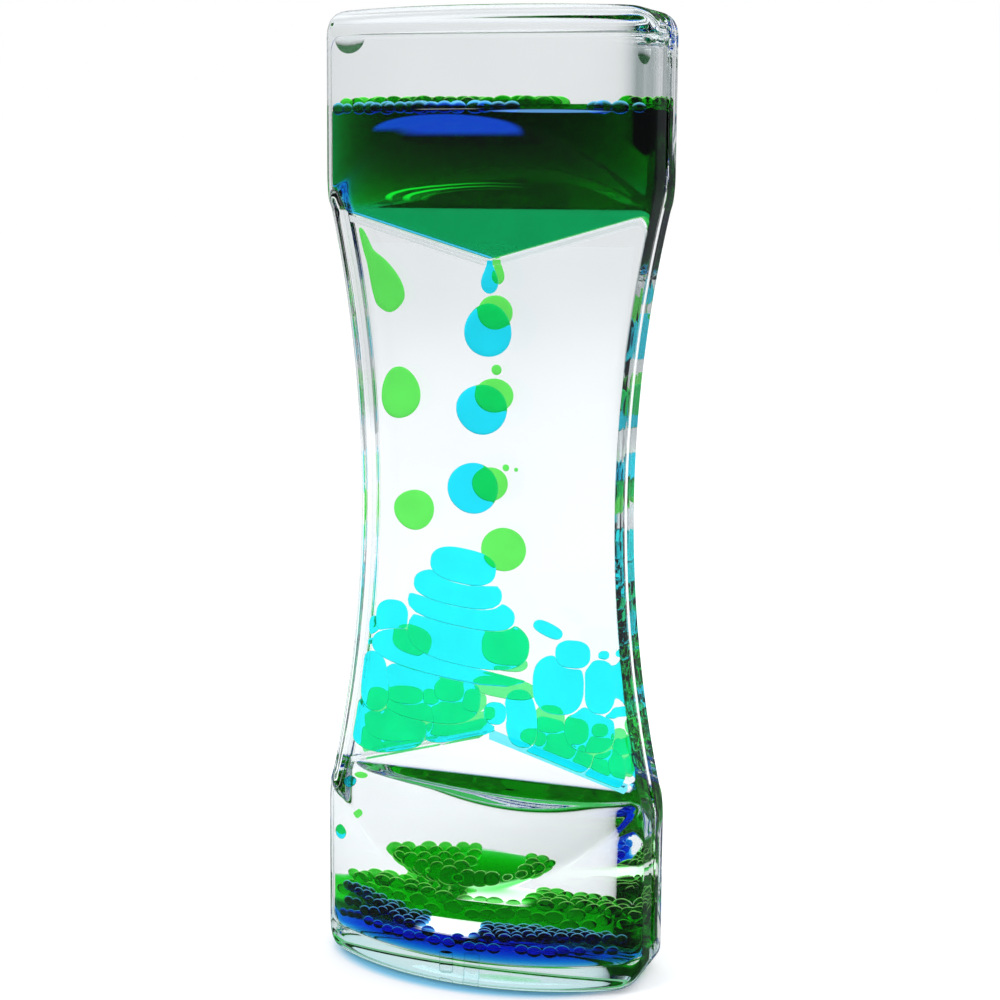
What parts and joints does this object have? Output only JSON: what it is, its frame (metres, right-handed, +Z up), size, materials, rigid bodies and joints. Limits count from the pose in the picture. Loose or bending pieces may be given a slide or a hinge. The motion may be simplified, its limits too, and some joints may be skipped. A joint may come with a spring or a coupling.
{
  "type": "liquid motion timer",
  "caption": "Clear hourglass vessel with back to back sealed chambers in which coloured drops fall through oil from an upper funnel, pile up on ramps and run down to a pool.",
  "frame": {"origin": "middle of the base, on the surface it stands on", "axes": "+Z up along the fall, +X to the right, -Y towards the front window"},
  "size_m": [0.048, 0.0276, 0.135],
  "materials": {
    "clear_plastic": "clear polished acrylic",
    "blue_liquid": "clear blue dyed liquid",
    "green_liquid": "clear green dyed liquid"
  },
  "bodies": {
    "vessel": {"front_shell": "clear_plastic", "rear_shell": "clear_plastic", "divider_panel": "clear_plastic", "front_fill_plug": "clear_plastic", "rear_fill_plug": "clear_plastic", "front_upper_left_ramp": "clear_plastic", "front_upper_right_ramp": "clear_plastic", "front_lower_left_ramp": "clear_plastic", "front_lower_right_ramp": "clear_plastic", "rear_upper_left_ramp": "clear_plastic", "rear_upper_right_ramp": "clear_plastic", "rear_lower_left_ramp": "clear_plastic", "rear_lower_right_ramp": "clear_plastic", "blue_upper_pool": "blue_liquid", "blue_lower_pool": "blue_liquid", "blue_hanging_drop": "blue_liquid", "blue_settled_stack": "blue_liquid", "blue_settled_left": "blue_liquid", "blue_settled_right": "blue_liquid", "green_upper_pool": "green_liquid", "green_lower_pool": "green_liquid", "green_hanging_drop": "green_liquid", "green_side_thread": "green_liquid", "green_settled_middle": "green_liquid", "green_settled_left": "green_liquid", "green_settled_right": "green_liquid"},
    "blue_drop_1": {"blue_drop_1": "blue_liquid"},
    "blue_drop_2": {"blue_drop_2": "blue_liquid"},
    "blue_drop_3": {"blue_drop_3": "blue_liquid"},
    "green_drop_1": {"green_drop_1": "green_liquid"},
    "green_drop_2": {"green_drop_2": "green_liquid", "green_drop_2_beads": "green_liquid"},
    "green_drop_3": {"green_drop_3": "green_liquid", "green_drop_3_beads": "green_liquid"},
    "green_drop_4": {"green_drop_4": "green_liquid"},
    "green_side_drop_1": {"green_side_drop_1": "green_liquid"},
    "green_side_drop_2": {"green_side_drop_2": "green_liquid"},
    "blue_drip_1": {"blue_drip_1": "blue_liquid"},
    "blue_drip_2": {"blue_drip_2": "blue_liquid"},
    "green_drip_1": {"green_drip_1": "green_liquid"},
    "green_drip_2": {"green_drip_2": "green_liquid"}
  },
  "joints": [
    {"name": "blue_drop_1_fall", "type": "slide", "parent": "vessel", "child": "blue_drop_1", "axis": [-0.1025, 0, -0.9947], "range_m": [-0.0011, 0.0047]},
    {"name": "blue_drop_2_fall", "type": "slide", "parent": "vessel", "child": "blue_drop_2", "axis": [-0.1025, 0, -0.9947], "range_m": [-0.0011, 0.0047]},
    {"name": "blue_drop_3_fall", "type": "slide", "parent": "vessel", "child": "blue_drop_3", "axis": [-0.1025, 0, -0.9947], "range_m": [-0.0011, 0.0047]},
    {"name": "green_drop_1_fall", "type": "slide", "parent": "vessel", "child": "green_drop_1", "axis": [0.037, 0, -0.9993], "range_m": [-0.0012, 0.0076]},
    {"name": "green_drop_2_fall", "type": "slide", "parent": "vessel", "child": "green_drop_2", "axis": [0.037, 0, -0.9993], "range_m": [-0.0012, 0.0076]},
    {"name": "green_drop_3_fall", "type": "slide", "parent": "vessel", "child": "green_drop_3", "axis": [0.037, 0, -0.9993], "range_m": [-0.0012, 0.0076]},
    {"name": "green_drop_4_fall", "type": "slide", "parent": "vessel", "child": "green_drop_4", "axis": [0.037, 0, -0.9993], "range_m": [-0.0012, 0.0076]},
    {"name": "green_side_drop_1_fall", "type": "slide", "parent": "vessel", "child": "green_side_drop_1", "axis": [0.0874, 0, -0.9962], "range_m": [-0.0066, 0.0139]},
    {"name": "green_side_drop_2_fall", "type": "slide", "parent": "vessel", "child": "green_side_drop_2", "axis": [0.0874, 0, -0.9962], "range_m": [-0.0066, 0.0139]},
    {"name": "blue_drip_1_fall", "type": "slide", "parent": "vessel", "child": "blue_drip_1", "axis": [0, 0, -1], "range_m": [-0.0018, 0.0084]},
    {"name": "blue_drip_2_fall", "type": "slide", "parent": "vessel", "child": "blue_drip_2", "axis": [0, 0, -1], "range_m": [-0.0018, 0.0084]},
    {"name": "green_drip_1_fall", "type": "slide", "parent": "vessel", "child": "green_drip_1", "axis": [0, 0, -1], "range_m": [-0.002, 0.006]},
    {"name": "green_drip_2_fall", "type": "slide", "parent": "vessel", "child": "green_drip_2", "axis": [0, 0, -1], "range_m": [-0.002, 0.006]}
  ],
  "couplings": [
    {"joint": "blue_drop_2_fall", "follows": "blue_drop_1_fall", "ratio": 1},
    {"joint": "blue_drop_3_fall", "follows": "blue_drop_1_fall", "ratio": 1},
    {"joint": "green_drop_2_fall", "follows": "green_drop_1_fall", "ratio": 1},
    {"joint": "green_drop_3_fall", "follows": "green_drop_1_fall", "ratio": 1},
    {"joint": "green_drop_4_fall", "follows": "green_drop_1_fall", "ratio": 1},
    {"joint": "green_side_drop_2_fall", "follows": "green_side_drop_1_fall", "ratio": 1},
    {"joint": "blue_drip_2_fall", "follows": "blue_drip_1_fall", "ratio": 1},
    {"joint": "green_drip_2_fall", "follows": "green_drip_1_fall", "ratio": 1}
  ]
}
